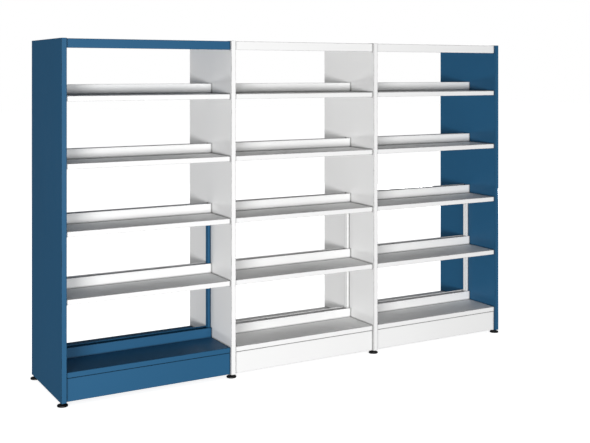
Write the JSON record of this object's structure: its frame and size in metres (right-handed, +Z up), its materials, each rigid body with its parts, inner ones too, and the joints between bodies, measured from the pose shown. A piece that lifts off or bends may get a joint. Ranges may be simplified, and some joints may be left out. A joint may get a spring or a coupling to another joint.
{
  "type": "double sided library shelving",
  "caption": "Free-standing steel library bookcase with closed panels, shelves on both sides, plinths, top covers and levelling feet.",
  "frame": {"origin": "on the floor, at the middle of the whole unit", "axes": "+X along the row of bays, +Y from the front side to the back side, +Z up"},
  "size_m": [3.15, 0.615, 2.022],
  "materials": {
    "blue_enamel": "satin",
    "white_enamel": "satin",
    "foot_black": "matte",
    "zinc_steel": "satin"
  },
  "bodies": {
    "case": {"base_shelf_1_back": "blue_enamel", "base_shelf_1_front": "blue_enamel", "base_shelf_2_back": "white_enamel", "base_shelf_2_front": "white_enamel", "base_shelf_3_back": "white_enamel", "base_shelf_3_front": "white_enamel", "brace_posts_1": "blue_enamel", "brace_posts_2": "white_enamel", "brace_posts_3": "white_enamel", "brace_rails_1": "blue_enamel", "brace_rails_2": "white_enamel", "brace_rails_3": "white_enamel", "end_panel_left": "blue_enamel", "end_panel_right": "blue_enamel", "foot_channels": "zinc_steel", "middle_panel_1": "white_enamel", "middle_panel_2": "white_enamel", "plinth_1_back": "blue_enamel", "plinth_1_front": "blue_enamel", "plinth_2_back": "white_enamel", "plinth_2_front": "white_enamel", "plinth_3_back": "white_enamel", "plinth_3_front": "white_enamel", "shelf_clips": "zinc_steel", "top_cover_1": "blue_enamel", "top_cover_2": "white_enamel", "top_cover_3": "white_enamel"},
    "foot_1_back": {"foot_1_back": "foot_black"},
    "foot_1_front": {"foot_1_front": "foot_black"},
    "foot_2_back": {"foot_2_back": "foot_black"},
    "foot_2_front": {"foot_2_front": "foot_black"},
    "foot_3_back": {"foot_3_back": "foot_black"},
    "foot_3_front": {"foot_3_front": "foot_black"},
    "foot_4_back": {"foot_4_back": "foot_black"},
    "foot_4_front": {"foot_4_front": "foot_black"},
    "shelf_1_back_1": {"shelf_1_back_1": "white_enamel"},
    "shelf_1_back_2": {"shelf_1_back_2": "white_enamel"},
    "shelf_1_back_3": {"shelf_1_back_3": "white_enamel"},
    "shelf_1_back_4": {"shelf_1_back_4": "white_enamel"},
    "shelf_1_front_1": {"shelf_1_front_1": "white_enamel"},
    "shelf_1_front_2": {"shelf_1_front_2": "white_enamel"},
    "shelf_1_front_3": {"shelf_1_front_3": "white_enamel"},
    "shelf_1_front_4": {"shelf_1_front_4": "white_enamel"},
    "shelf_2_back_1": {"shelf_2_back_1": "white_enamel"},
    "shelf_2_back_2": {"shelf_2_back_2": "white_enamel"},
    "shelf_2_back_3": {"shelf_2_back_3": "white_enamel"},
    "shelf_2_back_4": {"shelf_2_back_4": "white_enamel"},
    "shelf_2_front_1": {"shelf_2_front_1": "white_enamel"},
    "shelf_2_front_2": {"shelf_2_front_2": "white_enamel"},
    "shelf_2_front_3": {"shelf_2_front_3": "white_enamel"},
    "shelf_2_front_4": {"shelf_2_front_4": "white_enamel"},
    "shelf_3_back_1": {"shelf_3_back_1": "white_enamel"},
    "shelf_3_back_2": {"shelf_3_back_2": "white_enamel"},
    "shelf_3_back_3": {"shelf_3_back_3": "white_enamel"},
    "shelf_3_back_4": {"shelf_3_back_4": "white_enamel"},
    "shelf_3_front_1": {"shelf_3_front_1": "white_enamel"},
    "shelf_3_front_2": {"shelf_3_front_2": "white_enamel"},
    "shelf_3_front_3": {"shelf_3_front_3": "white_enamel"},
    "shelf_3_front_4": {"shelf_3_front_4": "white_enamel"}
  },
  "joints": [
    {"name": "foot_1_back_screw", "type": "slide", "parent": "case", "child": "foot_1_back", "axis": [0, 0, 1], "range_m": [-0.02, 0.01]},
    {"name": "foot_1_front_screw", "type": "slide", "parent": "case", "child": "foot_1_front", "axis": [0, 0, 1], "range_m": [-0.02, 0.01]},
    {"name": "foot_2_back_screw", "type": "slide", "parent": "case", "child": "foot_2_back", "axis": [0, 0, 1], "range_m": [-0.02, 0.01]},
    {"name": "foot_2_front_screw", "type": "slide", "parent": "case", "child": "foot_2_front", "axis": [0, 0, 1], "range_m": [-0.02, 0.01]},
    {"name": "foot_3_back_screw", "type": "slide", "parent": "case", "child": "foot_3_back", "axis": [0, 0, 1], "range_m": [-0.02, 0.01]},
    {"name": "foot_3_front_screw", "type": "slide", "parent": "case", "child": "foot_3_front", "axis": [0, 0, 1], "range_m": [-0.02, 0.01]},
    {"name": "foot_4_back_screw", "type": "slide", "parent": "case", "child": "foot_4_back", "axis": [0, 0, 1], "range_m": [-0.02, 0.01]},
    {"name": "foot_4_front_screw", "type": "slide", "parent": "case", "child": "foot_4_front", "axis": [0, 0, 1], "range_m": [-0.02, 0.01]},
    {"name": "shelf_1_back_1_lift", "type": "slide", "parent": "case", "child": "shelf_1_back_1", "axis": [0, 0, 1], "range_m": [0, 0.016]},
    {"name": "shelf_1_back_2_lift", "type": "slide", "parent": "case", "child": "shelf_1_back_2", "axis": [0, 0, 1], "range_m": [0, 0.016]},
    {"name": "shelf_1_back_3_lift", "type": "slide", "parent": "case", "child": "shelf_1_back_3", "axis": [0, 0, 1], "range_m": [0, 0.016]},
    {"name": "shelf_1_back_4_lift", "type": "slide", "parent": "case", "child": "shelf_1_back_4", "axis": [0, 0, 1], "range_m": [0, 0.016]},
    {"name": "shelf_1_front_1_lift", "type": "slide", "parent": "case", "child": "shelf_1_front_1", "axis": [0, 0, 1], "range_m": [0, 0.016]},
    {"name": "shelf_1_front_2_lift", "type": "slide", "parent": "case", "child": "shelf_1_front_2", "axis": [0, 0, 1], "range_m": [0, 0.016]},
    {"name": "shelf_1_front_3_lift", "type": "slide", "parent": "case", "child": "shelf_1_front_3", "axis": [0, 0, 1], "range_m": [0, 0.016]},
    {"name": "shelf_1_front_4_lift", "type": "slide", "parent": "case", "child": "shelf_1_front_4", "axis": [0, 0, 1], "range_m": [0, 0.016]},
    {"name": "shelf_2_back_1_lift", "type": "slide", "parent": "case", "child": "shelf_2_back_1", "axis": [0, 0, 1], "range_m": [0, 0.016]},
    {"name": "shelf_2_back_2_lift", "type": "slide", "parent": "case", "child": "shelf_2_back_2", "axis": [0, 0, 1], "range_m": [0, 0.016]},
    {"name": "shelf_2_back_3_lift", "type": "slide", "parent": "case", "child": "shelf_2_back_3", "axis": [0, 0, 1], "range_m": [0, 0.016]},
    {"name": "shelf_2_back_4_lift", "type": "slide", "parent": "case", "child": "shelf_2_back_4", "axis": [0, 0, 1], "range_m": [0, 0.016]},
    {"name": "shelf_2_front_1_lift", "type": "slide", "parent": "case", "child": "shelf_2_front_1", "axis": [0, 0, 1], "range_m": [0, 0.016]},
    {"name": "shelf_2_front_2_lift", "type": "slide", "parent": "case", "child": "shelf_2_front_2", "axis": [0, 0, 1], "range_m": [0, 0.016]},
    {"name": "shelf_2_front_3_lift", "type": "slide", "parent": "case", "child": "shelf_2_front_3", "axis": [0, 0, 1], "range_m": [0, 0.016]},
    {"name": "shelf_2_front_4_lift", "type": "slide", "parent": "case", "child": "shelf_2_front_4", "axis": [0, 0, 1], "range_m": [0, 0.016]},
    {"name": "shelf_3_back_1_lift", "type": "slide", "parent": "case", "child": "shelf_3_back_1", "axis": [0, 0, 1], "range_m": [0, 0.016]},
    {"name": "shelf_3_back_2_lift", "type": "slide", "parent": "case", "child": "shelf_3_back_2", "axis": [0, 0, 1], "range_m": [0, 0.016]},
    {"name": "shelf_3_back_3_lift", "type": "slide", "parent": "case", "child": "shelf_3_back_3", "axis": [0, 0, 1], "range_m": [0, 0.016]},
    {"name": "shelf_3_back_4_lift", "type": "slide", "parent": "case", "child": "shelf_3_back_4", "axis": [0, 0, 1], "range_m": [0, 0.016]},
    {"name": "shelf_3_front_1_lift", "type": "slide", "parent": "case", "child": "shelf_3_front_1", "axis": [0, 0, 1], "range_m": [0, 0.016]},
    {"name": "shelf_3_front_2_lift", "type": "slide", "parent": "case", "child": "shelf_3_front_2", "axis": [0, 0, 1], "range_m": [0, 0.016]},
    {"name": "shelf_3_front_3_lift", "type": "slide", "parent": "case", "child": "shelf_3_front_3", "axis": [0, 0, 1], "range_m": [0, 0.016]},
    {"name": "shelf_3_front_4_lift", "type": "slide", "parent": "case", "child": "shelf_3_front_4", "axis": [0, 0, 1], "range_m": [0, 0.016]}
  ]
}
